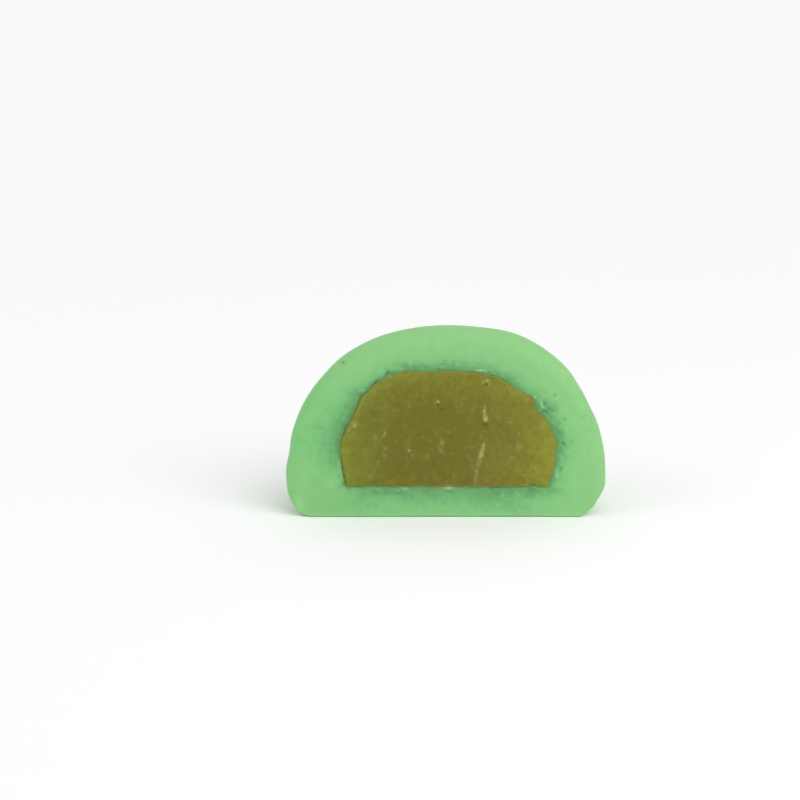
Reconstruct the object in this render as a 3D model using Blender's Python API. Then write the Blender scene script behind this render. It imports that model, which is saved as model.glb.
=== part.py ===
"""Half of a round mochi: a thick soft rice skin round a dome of paste, cut through the middle.

Units are metres, and MM turns a size in millimetres into them. The flat underside lies on Z = 0, the cut
face looks towards -Y, X runs across the cut, and the origin is below the middle of the half's box.

Both pieces are spheres whose points are moved onto the food's own surface. Each column of such a sphere
is one spoke of the cut face, at an angle about the Y axis, and each ring is one step along it: the skin
runs from the back of its pocket, over the cut face and the soft rim, to the back of the cake.
"""

import cmath
import math
from bisect import bisect_left
from dataclasses import dataclass, replace
from itertools import accumulate, pairwise

import bmesh
import bpy

MM = 0.001
COLUMNS = 88
SAMPLES = 240  # along a curve, to place its stations
BISECTIONS = 40


@dataclass(frozen=True)
class Dome:
    """A turned body: a flat foot, a bulge at the waist, and a domed top. Each power is (left, right)."""

    middle: float  # X of the axis that it is turned about
    bottom: float
    top: float
    half_width: float
    waist: float  # how far the widest level lies above the bottom
    foot: float  # half-width of the flat underside
    crown_powers: tuple  # 2 makes an elliptical top, and more a squarer shoulder
    heel_powers: tuple

    def radius(self, height, side):
        """The half-width at a height between bottom and top. Side runs from -1, left, to 1, right."""
        waist_height = self.bottom + self.waist
        if height >= waist_height:
            power = between(self.crown_powers, side)
            rise = (height - waist_height) / (self.top - waist_height)
            return self.half_width * (1 - rise**power) ** (1 / power)
        power = between(self.heel_powers, side)
        drop = (waist_height - height) / self.waist
        return self.foot + (self.half_width - self.foot) * (1 - drop**power) ** (1 / power)

    def holds(self, x, depth, height):
        """Whether a point lies inside. Depth is measured from the cut plane, which holds the axis."""
        if not self.bottom < height < self.top:
            return False
        side = max(-1.0, min(1.0, (x - self.middle) / self.half_width))
        return math.hypot(x - self.middle, depth) < self.radius(height, side)

    def grown(self, gap):
        """The same body with its surface moved outwards by gap."""
        return replace(
            self,
            bottom=self.bottom - gap,
            top=self.top + gap,
            half_width=self.half_width + gap,
            waist=self.waist + gap,
            foot=self.foot + gap,
        )


CAKE = Dome(
    middle=0.0,
    bottom=0.0,
    top=26.8 * MM,
    half_width=22.65 * MM,
    waist=4.5 * MM,
    foot=18.8 * MM,
    crown_powers=(2.2, 2.3),
    heel_powers=(2.0, 1.45),
)
PASTE = Dome(
    middle=0.35 * MM,
    bottom=4.4 * MM,
    top=21.0 * MM,
    half_width=14.95 * MM,
    waist=3.6 * MM,
    foot=13.7 * MM,
    crown_powers=(2.7, 2.1),
    heel_powers=(2.5, 2.5),
)
POCKET = PASTE.grown(0.3 * MM)  # the gap keeps the two faceted pieces apart
HUB_HEIGHT = 10.5 * MM  # the spokes of the cut face meet here, inside the paste
LONGEST_SPOKE = 40.0 * MM

DIP = 0.6 * MM  # how far the skin's cut face sinks where it meets the paste
DIP_SHARE = 0.55  # share of the skin's thickness over which it sinks
BASE_RIM, SOFT_RIM = 0.6 * MM, 2.6 * MM  # radius of the cut edge along the base, and from the waist up
PASTE_CROWN = 0.25 * MM  # how far the middle of the paste stands proud of its edge
PASTE_EDGE = 0.35 * MM  # radius of the paste's cut edge

BACK_RINGS = 8  # of the paste and of its pocket, on the same lines from the hub, so they never cross
FACE_RINGS = 5
RIM_RINGS = 5
EDGE_RINGS = 3
OUTSIDE_RINGS = 24

SKIN_GREEN = (0.29, 0.60, 0.24, 1.0)
PASTE_OLIVE = (0.20, 0.19, 0.04, 1.0)


def between(pair, side):
    """The value at side, from the pair's first at -1 to its second at 1."""
    left, right = pair
    return (left + right) / 2 + (right - left) / 2 * side


def furthest_inside(is_inside):
    """The largest distance that is_inside accepts, if it accepts all shorter ones too."""
    near, far = 0.0, LONGEST_SPOKE
    for _ in range(BISECTIONS):
        tried = (near + far) / 2
        if is_inside(tried):
            near = tried
        else:
            far = tried
    return near


def spread(dome, angle, depth):
    """How far along the spoke at this angle the dome's surface lies, at a depth behind the cut."""
    across, up = math.cos(angle), math.sin(angle)
    return furthest_inside(
        lambda reach: dome.holds(PASTE.middle + reach * across, depth, HUB_HEIGHT + reach * up)
    )


def stations(places, curves, count):
    """count + 1 of the places, closest together where one of the curves turns sharply.

    A curve has one point, a complex number, for each place.
    """
    weights = [0.0] * (len(places) - 1)
    for curve in curves:
        steps = [end - start for start, end in pairwise(curve)]
        length = sum(abs(step) for step in steps)
        for i, step in enumerate(steps):
            bend = abs(cmath.phase(step / steps[i - 1])) if i else 0.0
            weights[i] += abs(step) / length + bend / math.pi
    passed = list(accumulate(weights, initial=0.0))
    return [places[bisect_left(passed, passed[-1] * (station / count))] for station in range(count + 1)]


def column_angles():
    """The angle of each spoke of the cut face."""
    angles = [2 * math.pi * i / SAMPLES for i in range(SAMPLES + 1)]
    outlines = [[cmath.rect(spread(dome, angle, 0), angle) for angle in angles] for dome in (CAKE, PASTE)]
    return stations(angles, outlines, COLUMNS)[:-1]


def at_turn(dome, angle, turn):
    """The surface's reach and depth, as reach + depth * 1j, seen from the hub at a turn off the cut plane."""
    across, up = math.cos(angle), math.sin(angle)
    out, back = math.cos(turn), math.sin(turn)
    distance = furthest_inside(
        lambda d: dome.holds(PASTE.middle + d * out * across, d * back, HUB_HEIGHT + d * out * up)
    )
    return cmath.rect(distance, turn)


def turns_to_the_back(dome, angle, first_depth, rings):
    """The turn of each ring off the cut plane, from first_depth to the dome's back, both included."""
    first = math.atan2(first_depth, spread(dome, angle, first_depth))
    turns = [first + (math.pi / 2 - first) * i / SAMPLES for i in range(SAMPLES + 1)]
    return stations(turns, [[at_turn(dome, angle, turn) for turn in turns]], rings)


def skin_spoke(angle):
    """The skin's rings, as reach + depth * 1j: pocket, mouth, cut face, rim, outside."""
    mouth = spread(POCKET, angle, DIP)
    edge = spread(CAKE, angle, 0)
    edge_height = HUB_HEIGHT + edge * math.sin(angle)
    rim = BASE_RIM + (SOFT_RIM - BASE_RIM) * min(1.0, edge_height / CAKE.waist)

    pocket_turns = turns_to_the_back(PASTE, angle, DIP + PASTE_EDGE, BACK_RINGS)
    points = [at_turn(POCKET, angle, turn) for turn in reversed(pocket_turns)]
    for ring in range(FACE_RINGS + 1):
        share = ring / FACE_RINGS
        sink = max(0.0, 1 - share / DIP_SHARE) ** 2
        points.append(complex(mouth + (edge - rim - mouth) * share, DIP * sink))
    for ring in range(1, RIM_RINGS):
        turn = math.pi / 2 * ring / RIM_RINGS
        depth = rim * (1 - math.cos(turn))
        points.append(complex(spread(CAKE, angle, depth) - rim * (1 - math.sin(turn)), depth))
    outside_turns = turns_to_the_back(CAKE, angle, rim, OUTSIDE_RINGS)
    return points + [at_turn(CAKE, angle, turn) for turn in outside_turns]


def paste_spoke(angle):
    """The paste's rings, as reach + depth * 1j: crowned cut face, its edge, the back."""
    edge_reach = spread(PASTE, angle, DIP) - PASTE_EDGE
    points = []
    for ring in range(FACE_RINGS + 1):
        share = ring / FACE_RINGS
        points.append(complex(edge_reach * share, DIP - PASTE_CROWN * (1 - share**2)))
    for ring in range(1, EDGE_RINGS):
        turn = math.pi / 2 * ring / EDGE_RINGS
        depth = DIP + PASTE_EDGE * (1 - math.cos(turn))
        points.append(complex(spread(PASTE, angle, depth) - PASTE_EDGE * (1 - math.sin(turn)), depth))
    back_turns = turns_to_the_back(PASTE, angle, DIP + PASTE_EDGE, BACK_RINGS)
    return points + [at_turn(PASTE, angle, turn) for turn in back_turns]


def spoked_solid(name, spoke, diagonals, colour, roughness, collection):
    """A UV sphere whose rings are moved to the points of spoke(angle), from its front pole to its back."""
    angles = column_angles()
    columns = [spoke(angle) for angle in angles]
    rings = len(columns[0]) - 1
    cut_plane = -CAKE.half_width / 2

    sphere = bmesh.new()
    bmesh.ops.create_uvsphere(sphere, u_segments=COLUMNS, v_segments=rings, radius=1.0)
    for vertex in sphere.verts:
        turn = math.atan2(vertex.co.y, vertex.co.x) / (2 * math.pi)
        column = round(turn * COLUMNS) % COLUMNS
        ring = round(math.acos(max(-1.0, min(1.0, vertex.co.z))) / math.pi * rings)
        point = columns[column][ring]
        vertex.co = (
            PASTE.middle + point.real * math.cos(angles[column]),
            cut_plane + point.imag,
            HUB_HEIGHT + point.real * math.sin(angles[column]),
        )
    bmesh.ops.triangulate(sphere, faces=sphere.faces, quad_method=diagonals)

    mesh = bpy.data.meshes.new(name)
    sphere.to_mesh(mesh)
    sphere.free()
    mesh.shade_smooth()
    mesh.materials.append(plain_material(name, colour, roughness))
    collection.objects.link(bpy.data.objects.new(name, mesh))


def plain_material(name, colour, roughness):
    material = bpy.data.materials.new(name)
    material.use_nodes = True
    shader = material.node_tree.nodes["Principled BSDF"]
    shader.inputs["Base Color"].default_value = colour
    shader.inputs["Roughness"].default_value = roughness
    shader.inputs["Metallic"].default_value = 0.0
    return material


def main():
    for old in list(bpy.data.objects):
        bpy.data.objects.remove(old)
    collection = bpy.data.collections.new("halved_mochi")
    bpy.context.scene.collection.children.link(collection)

    # The pocket's rings run towards the cut and the paste's run away from it. Splitting their quads the
    # two ways gives both the same diagonals, so the facets on either side of the gap stay parallel.
    spoked_solid("skin", skin_spoke, "ALTERNATE", SKIN_GREEN, 0.65, collection)
    spoked_solid("filling", paste_spoke, "FIXED", PASTE_OLIVE, 0.6, collection)


main()
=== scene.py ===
"""Half of a round mochi, cut down the middle: the looks of the rice skin and of the paste inside it.

Shapes are worked out in millimetres, in the CAD's own frame: the base lies on Z = 0, the cut face looks
towards -Y, and X runs across it. Each piece is lofted from rings round a hub inside the paste, and then
its points are moved a little along their normals, for the relief of soft dough and of cut paste.
"""

import math
from dataclasses import dataclass

import bpy
import numpy as np
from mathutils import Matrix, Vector, noise


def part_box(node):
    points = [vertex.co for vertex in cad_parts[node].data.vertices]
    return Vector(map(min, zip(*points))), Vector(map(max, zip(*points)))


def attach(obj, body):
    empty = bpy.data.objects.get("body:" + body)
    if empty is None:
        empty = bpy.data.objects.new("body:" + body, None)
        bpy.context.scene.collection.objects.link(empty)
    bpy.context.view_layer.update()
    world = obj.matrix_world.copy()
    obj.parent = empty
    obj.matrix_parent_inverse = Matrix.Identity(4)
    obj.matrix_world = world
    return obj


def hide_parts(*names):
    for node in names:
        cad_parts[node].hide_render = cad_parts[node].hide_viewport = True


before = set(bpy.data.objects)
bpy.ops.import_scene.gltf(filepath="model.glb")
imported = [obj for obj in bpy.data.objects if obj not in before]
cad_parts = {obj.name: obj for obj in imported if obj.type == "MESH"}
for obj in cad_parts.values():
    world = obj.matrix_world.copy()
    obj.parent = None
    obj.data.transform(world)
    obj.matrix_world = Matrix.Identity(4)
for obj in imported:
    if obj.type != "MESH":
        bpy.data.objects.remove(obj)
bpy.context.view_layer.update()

MM = 0.001
COLUMNS = 640  # spokes of the finest rings
HUB_HEIGHT = 10.5  # the spokes meet here, inside the paste
LONGEST_SPOKE = 40.0
BISECTIONS = 36

SOFT_RIM, BASE_RIM = 2.6, 0.4  # radius of the skin's cut edge, from the waist up and along the base
FACE_DIP = 0.45  # how far behind the cut the skin and the paste meet
OVERLAP = 0.12  # how far the skin reaches into the paste, which leaves no gap between them
PASTE_PROUD = 0.06  # how far the paste's edge stands out from the skin's
PASTE_LOWERED, PASTE_TRIMMED = 0.15, 0.1  # of the CAD paste's underside and top, before its own bumps


@dataclass(frozen=True)
class Dome:
    """A turned body with a flat foot, a bulge at the waist and a domed top. Each power is (left, right)."""

    middle: float  # X of the axis that it is turned about
    bottom: float
    top: float
    half_width: float
    waist: float  # how far the widest level lies above the bottom
    foot: float  # half-width of the flat underside
    crown_powers: tuple  # 2 makes an elliptical top, and more a squarer shoulder
    heel_powers: tuple

    def radius(self, height, side):
        """The half-width at a height between bottom and top. Side runs from -1, left, to 1, right."""
        crown, heel = between(self.crown_powers, side), between(self.heel_powers, side)
        waist_height = self.bottom + self.waist
        rise = np.clip((height - waist_height) / (self.top - waist_height), 0, 1)
        drop = np.clip((waist_height - height) / self.waist, 0, 1)
        above = self.half_width * (1 - rise**crown) ** (1 / crown)
        below = self.foot + (self.half_width - self.foot) * (1 - drop**heel) ** (1 / heel)
        return np.where(height >= waist_height, above, below)

    def holds(self, x, depth, height):
        """Whether a point lies inside. Depth is measured from the cut plane, which holds the axis."""
        side = np.clip((x - self.middle) / self.half_width, -1, 1)
        tall = (height > self.bottom) & (height < self.top)
        return tall & (np.hypot(x - self.middle, depth) < self.radius(height, side))


def between(pair, side):
    """The value at side, from the pair's first at -1 to its second at 1."""
    left, right = pair
    return (left + right) / 2 + (right - left) / 2 * side


def box_mm(node):
    """The low and the high corner of a CAD node, in millimetres."""
    low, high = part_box(node)
    return np.array(low) / MM, np.array(high) / MM


skin_low, skin_high = box_mm("skin")
paste_low, paste_high = box_mm("filling")
CUT = skin_low[1]
HUB_X = (paste_low[0] + paste_high[0]) / 2

CAKE = Dome(
    middle=(skin_low[0] + skin_high[0]) / 2,
    bottom=skin_low[2],
    top=skin_high[2],
    half_width=skin_high[1] - skin_low[1],
    waist=4.5,
    foot=18.8,
    crown_powers=(2.2, 2.3),
    heel_powers=(2.0, 1.45),
)
PASTE = Dome(
    middle=HUB_X,
    bottom=paste_low[2] - PASTE_LOWERED,
    top=paste_high[2] - PASTE_TRIMMED,
    half_width=(paste_high[0] - paste_low[0]) / 2,
    waist=3.6,
    foot=13.9,
    crown_powers=(2.7, 2.1),
    heel_powers=(3.2, 3.2),
)


# Spokes and rings

FINE_SPOKES = 4 * COLUMNS  # to find where the outlines turn
BEND_WEIGHT = 0.5  # how much the spokes crowd where an outline turns


def furthest(is_inside, spokes):
    """The largest distance that is_inside accepts, for each of the spokes."""
    near, far = np.zeros_like(spokes), np.full_like(spokes, LONGEST_SPOKE)
    for _ in range(BISECTIONS):
        tried = (near + far) / 2
        inside = is_inside(tried)
        near, far = np.where(inside, tried, near), np.where(inside, far, tried)
    return near


def spread(dome, angles, depth):
    """How far along each spoke the dome's surface lies, at a depth behind the cut."""
    across, up = np.cos(angles), np.sin(angles)
    return furthest(lambda d: dome.holds(HUB_X + d * across, depth, HUB_HEIGHT + d * up), angles)


def distance_to(dome, across, up, back):
    """How far from the hub the dome's surface lies in each direction."""
    return furthest(lambda d: dome.holds(HUB_X + d * across, d * back, HUB_HEIGHT + d * up), across)


def pole_depth(dome):
    """How far behind the cut the dome's surface lies, straight behind the hub."""
    nowhere = np.zeros(1)
    return distance_to(dome, nowhere, nowhere, 1.0)[0]


def spoke_angles():
    """The angle of each spoke, closest together where the two outlines turn sharply."""
    fine = np.linspace(0, 2 * math.pi, FINE_SPOKES + 1)
    weights = np.zeros(FINE_SPOKES)
    for dome in (CAKE, PASTE):
        steps = np.diff(spread(dome, fine, 0.0) * np.exp(1j * fine))
        bends = np.abs(np.angle(steps / np.roll(steps, 1)))
        weights += np.abs(steps) / np.abs(steps).sum() + BEND_WEIGHT * bends / bends.sum()
    passed = np.concatenate([[0.0], np.cumsum(weights)])
    return np.interp(np.arange(COLUMNS) / COLUMNS * passed[-1], passed, fine)


ANGLES = spoke_angles()


class Ring:
    """One ring of a loft: a reach and a depth for each spoke, of which only columns are used."""

    def __init__(self, reach, depth, columns=COLUMNS):
        self.reach = np.broadcast_to(reach, COLUMNS)
        self.depth = np.broadcast_to(depth, COLUMNS)
        self.columns = columns


def back_rings(dome, first_depth, steps):
    """Rings over the back of a dome, from first_depth to nearly the pole. Steps are (columns, rings)."""
    first = np.arctan2(first_depth, spread(dome, ANGLES, first_depth))
    total = sum(number for _, number in steps)
    rings = []
    for columns, number in steps:
        for _ in range(number):
            turn = first + (math.pi / 2 - first) * len(rings) / total
            out, back = np.cos(turn), np.sin(turn)
            distance = distance_to(dome, out * np.cos(ANGLES), out * np.sin(ANGLES), back)
            rings.append(Ring(distance * out, distance * back, columns))
    return rings


def arc_rings(start_reach, end_reach, start_depth, end_depth, count, convex_first):
    """A quarter round between two places, both left out. It starts along the face if convex_first."""
    rings = []
    for step in range(1, count):
        turn = math.pi / 2 * step / count
        along, across = math.sin(turn), 1 - math.cos(turn)
        if not convex_first:
            along, across = across, along
        reach = start_reach + (end_reach - start_reach) * along
        rings.append(Ring(reach, start_depth + (end_depth - start_depth) * across))
    return rings


def bridge(first, second):
    """Faces between two rings of point numbers, where one may have half as many points as the other."""
    one, two = np.roll(first, -1), np.roll(second, -1)
    if len(first) == len(second):
        return list(zip(first, one, two, second))
    faces = []
    if len(first) > len(second):
        for j in range(len(second)):
            a, b, c = first[2 * j], one[2 * j], one[2 * j + 1]
            faces += [(a, b, second[j]), (b, two[j], second[j]), (b, c, two[j])]
    else:
        for j in range(len(first)):
            a, b, c = second[2 * j], two[2 * j], two[2 * j + 1]
            faces += [(first[j], b, a), (first[j], one[j], b), (one[j], c, b)]
    return faces


@dataclass
class Loft:
    """Points and faces of a piece, with each point's spoke, reach and depth."""

    angle: np.ndarray
    reach: np.ndarray
    depth: np.ndarray
    faces: list

    @property
    def points(self):
        """Each point's place in millimetres, in the CAD's frame."""
        x = HUB_X + self.reach * np.cos(self.angle)
        height = HUB_HEIGHT + self.reach * np.sin(self.angle)
        return np.column_stack([x, CUT + self.depth, height])


def loft(rings, first_pole_depth, last_pole_depth):
    """Joins the rings, and closes both ends with a fan round a pole on the hub's own line."""
    angle, reach, depth, faces = [[0.0]], [[0.0]], [[first_pole_depth]], []
    count, before = 1, None
    for ring in rings:
        every = COLUMNS // ring.columns
        numbers = list(range(count, count + ring.columns))
        angle.append(ANGLES[::every])
        reach.append(ring.reach[::every])
        depth.append(ring.depth[::every])
        if before is None:
            faces += [(0, a, b) for a, b in zip(numbers, numbers[1:] + numbers[:1])]
        else:
            faces += bridge(numbers, before)
        before, count = numbers, count + ring.columns
    faces += [(count, b, a) for a, b in zip(before, before[1:] + before[:1])]
    angle.append([0.0])
    reach.append([0.0])
    depth.append([last_pole_depth])
    return Loft(*(np.concatenate(part) for part in (angle, reach, depth)), faces)


# Small marks and noise

SEED_SHIFTS = (13.7, 7.1, 3.3)  # from one seed's noise to the next, in wavelengths
MARK_WOBBLE = 0.12  # how far the edge of a mark wanders
MARK_WOBBLE_LENGTH = 0.4
MARK_SEEDS = (31, 32)


@dataclass(frozen=True)
class Mark:
    """A soft spot on the cut face: long and wide are half-lengths, and tilt turns long from upright to +X."""

    x: float
    height: float
    long: float
    wide: float
    amount: float
    tilt: float = 0.0  # degrees


def marked(points, marks):
    """The sum of the marks at each point. Their edges are made uneven by a fine wobble."""
    total = np.zeros(len(points))
    sideways, upwards = (MARK_WOBBLE * noise_at(points, MARK_WOBBLE_LENGTH, seed) for seed in MARK_SEEDS)
    x, height = points[:, 0] + sideways, points[:, 2] + upwards
    for mark in marks:
        turn = math.radians(mark.tilt)
        dx, dz = x - mark.x, height - mark.height
        along = dx * math.sin(turn) + dz * math.cos(turn)
        across = dx * math.cos(turn) - dz * math.sin(turn)
        total += mark.amount * np.exp(-((along / mark.long) ** 2) - (across / mark.wide) ** 2)
    return total


def noise_at(points, wavelength, seed, stretch=(1, 1, 1)):
    """Smooth noise from about -1 to 1 at each point."""
    offset = Vector([seed * shift for shift in SEED_SHIFTS])
    scaled = np.asarray(points) / (wavelength * np.array(stretch))
    return np.array([noise.noise(Vector(place) + offset) for place in scaled])


def layered(points, layers):
    """The sum of several noises. Each layer is (amount, wavelength, seed)."""
    return sum(amount * noise_at(points, wavelength, seed) for amount, wavelength, seed in layers)


def smooth_step(low, high, value):
    """0 up to low, 1 from high on, and a smooth rise between them. High may be the lower of the two."""
    share = np.clip((value - low) / (high - low), 0, 1)
    return share * share * (3 - 2 * share)


def bumps_by_angle(angles, bumps):
    """The sum of (centre, half-width, amount) bumps on a circle, the first two in degrees."""
    total = np.zeros_like(angles)
    for centre, width, amount in bumps:
        away = np.degrees(np.angle(np.exp(1j * (angles - math.radians(centre)))))
        total += amount * np.exp(-((away / width) ** 2))
    return total


def by_spoke(piece, values):
    """Values that are known for each spoke, at each point of a piece."""
    return np.interp(piece.angle, ANGLES, values, period=2 * math.pi)


# Outlines on the cut face. Lists by angle hold (centre, half-width, amount), in degrees about the hub.

PASTE_BUMPS = (  # how far the paste reaches past its plain dome, by angle
    (119.0, 2.8, 0.09),
    (125.6, 2.2, -0.36),
    (128.0, 13.0, 0.72),
    (129.3, 1.2, 0.14),
    (131.8, 1.1, -0.12),
    (140.7, 1.6, 0.15),
    (145.0, 2.0, -0.14),
    (147.8, 1.1, -0.07),
    (149.8, 1.1, 0.10),
    (158.0, 9.0, 0.15),
    (161.0, 8.0, -0.60),
    (166.5, 1.3, -0.10),
    (173.0, 4.0, -0.20),
    (178.0, 7.0, 0.32),
    (-176.0, 1.5, 0.10),
    (-173.0, 7.0, 0.30),
    (-160.2, 0.8, -0.12),
    (-158.0, 1.0, 0.08),
    (-154.6, 1.0, 0.16),
    (-152.0, 4.0, -0.20),
    (-149.0, 6.0, -0.14),
    (-124.0, 10.0, -0.10),
    (-85.0, 22.0, 0.13),
    (-35.0, 4.0, -0.08),
    (-27.9, 1.1, -0.70),
    (-25.3, 1.4, 0.30),
    (-21.0, 3.0, -0.35),
    (-18.0, 8.0, -0.48),
    (-6.5, 1.8, -0.10),
    (-3.5, 1.1, -0.34),
    (1.0, 3.5, 0.31),
    (18.5, 3.5, -0.16),
    (22.0, 3.2, -0.47),
    (30.0, 3.0, 0.25),
    (35.0, 2.0, -0.16),
    (44.0, 6.0, -0.38),
    (46.5, 2.0, 0.12),
    (56.0, 2.5, 0.16),
    (63.0, 1.6, -0.18),
    (80.0, 6.0, -0.12),
    (104.0, 5.0, -0.12),
)
CREVICES = ((152, 18, 1.0), (177, 12, 1.0), (-162, 6, 0.12))  # where skin and paste part, by angle
PASTE_WOBBLE = ((0.10, 2.2, 1), (0.10, 0.8, 2), (0.05, 0.35, 4))  # amount, wavelength, seed
UNDERSIDE = (-14, -24)  # the slopes of a spoke, in degrees, between which the straight underside starts
UNDERSIDE_CALM = 0.75  # the share of the wobble that the underside lacks
CREVICE_WOBBLE = ((0.4, 1.2, 3),)
CREVICE_WIDTH = 0.06  # how far the skin draws back from the paste there
EDGE_RADIUS, CREVICE_EDGE_RADIUS = 0.15, 0.27  # of both edges where skin and paste meet


def ring_noise(layers):
    """Noise along the paste's outline, one value for each spoke."""
    reach = spread(PASTE, ANGLES, FACE_DIP)
    places = np.column_stack([reach * np.cos(ANGLES), 0 * reach, reach * np.sin(ANGLES)])
    return layered(places, layers)


def paste_outline():
    """How far the paste reaches along each spoke, where it meets the skin."""
    under = smooth_step(*UNDERSIDE, np.degrees(np.arcsin(np.sin(ANGLES))))
    plain = spread(PASTE, ANGLES, FACE_DIP)
    wobble = ring_noise(PASTE_WOBBLE) * (1 - UNDERSIDE_CALM * under)
    return plain + bumps_by_angle(ANGLES, PASTE_BUMPS) + wobble


PASTE_REACH = paste_outline()
GAPE = np.clip(bumps_by_angle(ANGLES, CREVICES) * (1 + ring_noise(CREVICE_WOBBLE)), 0, 1)
MOUTH_REACH = PASTE_REACH - OVERLAP + CREVICE_WIDTH * GAPE
MEETING_EDGE = EDGE_RADIUS + (CREVICE_EDGE_RADIUS - EDGE_RADIUS) * GAPE
EDGE_REACH = spread(CAKE, ANGLES, 0.0)
EDGE_HEIGHT = HUB_HEIGHT + EDGE_REACH * np.sin(ANGLES)
RIM = BASE_RIM + (SOFT_RIM - BASE_RIM) * np.clip(EDGE_HEIGHT / CAKE.waist, 0, 1)


# The rice skin

# Pairs of columns and rings, from the first pole on
POCKET_STEPS = ((20, 2), (40, 2), (80, 3), (160, 4), (320, 4))
OUTSIDE_STEPS = ((640, 16), (320, 22), (160, 14), (80, 8), (40, 3), (20, 3))
WALL_DEPTHS = (0.5, 0.15)  # rings of the pocket's wall, this far behind the skin's lip
LIP_RINGS = 4
FACE_RINGS = 56
FACE_CROWDING = 1.15  # above 1, the rings of the face lie closer together near the paste
RIM_RINGS = 16
DIP_SHARE = 0.6  # share of the skin's thickness over which its face sinks towards the paste
BACK_START = 1.2  # how far behind the dip the paste and its pocket become turned domes
OUTLINE_FADE = 4.0  # the depth over which the cut outline's own bumps fade into those domes


def rings_behind(outline, steps):
    """Rings over the back of the paste, from an outline near the cut to its plain turned dome."""
    shrink = outline / spread(PASTE, ANGLES, FACE_DIP)
    fitted = []
    for ring in back_rings(PASTE, FACE_DIP + BACK_START, steps):
        scale = 1 + (shrink - 1) * np.exp((FACE_DIP - ring.depth) / OUTLINE_FADE)
        fitted.append(Ring(ring.reach * scale, ring.depth, ring.columns))
    return fitted


def skin_loft():
    """The skin's rings: pocket, wall, lip, cut face, rim, outside."""
    shelf = PASTE_REACH - 2 * OVERLAP
    inside = rings_behind(shelf, POCKET_STEPS[::-1])[::-1]

    lip_depth = FACE_DIP + MEETING_EDGE
    face_start, face_end = MOUTH_REACH + MEETING_EDGE, EDGE_REACH - RIM
    wall = [Ring(shelf, lip_depth + depth) for depth in WALL_DEPTHS]
    wall.append(Ring(MOUTH_REACH, lip_depth))
    lip = arc_rings(MOUTH_REACH, face_start, lip_depth, FACE_DIP, LIP_RINGS, convex_first=False)

    face = []
    for step in range(FACE_RINGS + 1):
        share = (step / FACE_RINGS) ** FACE_CROWDING
        sink = np.clip(1 - share / DIP_SHARE, 0, 1) ** 2
        face.append(Ring(face_start + (face_end - face_start) * share, FACE_DIP * sink))

    rim = []
    for step in range(1, RIM_RINGS):
        turn = math.pi / 2 * step / RIM_RINGS
        depth = RIM * (1 - math.cos(turn))
        rim.append(Ring(spread(CAKE, ANGLES, depth) - RIM * (1 - math.sin(turn)), depth))
    outside = back_rings(CAKE, RIM, OUTSIDE_STEPS)
    return loft(
        inside + wall + lip + face + rim + outside,
        first_pole_depth=pole_depth(PASTE),
        last_pole_depth=pole_depth(CAKE),
    )


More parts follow.
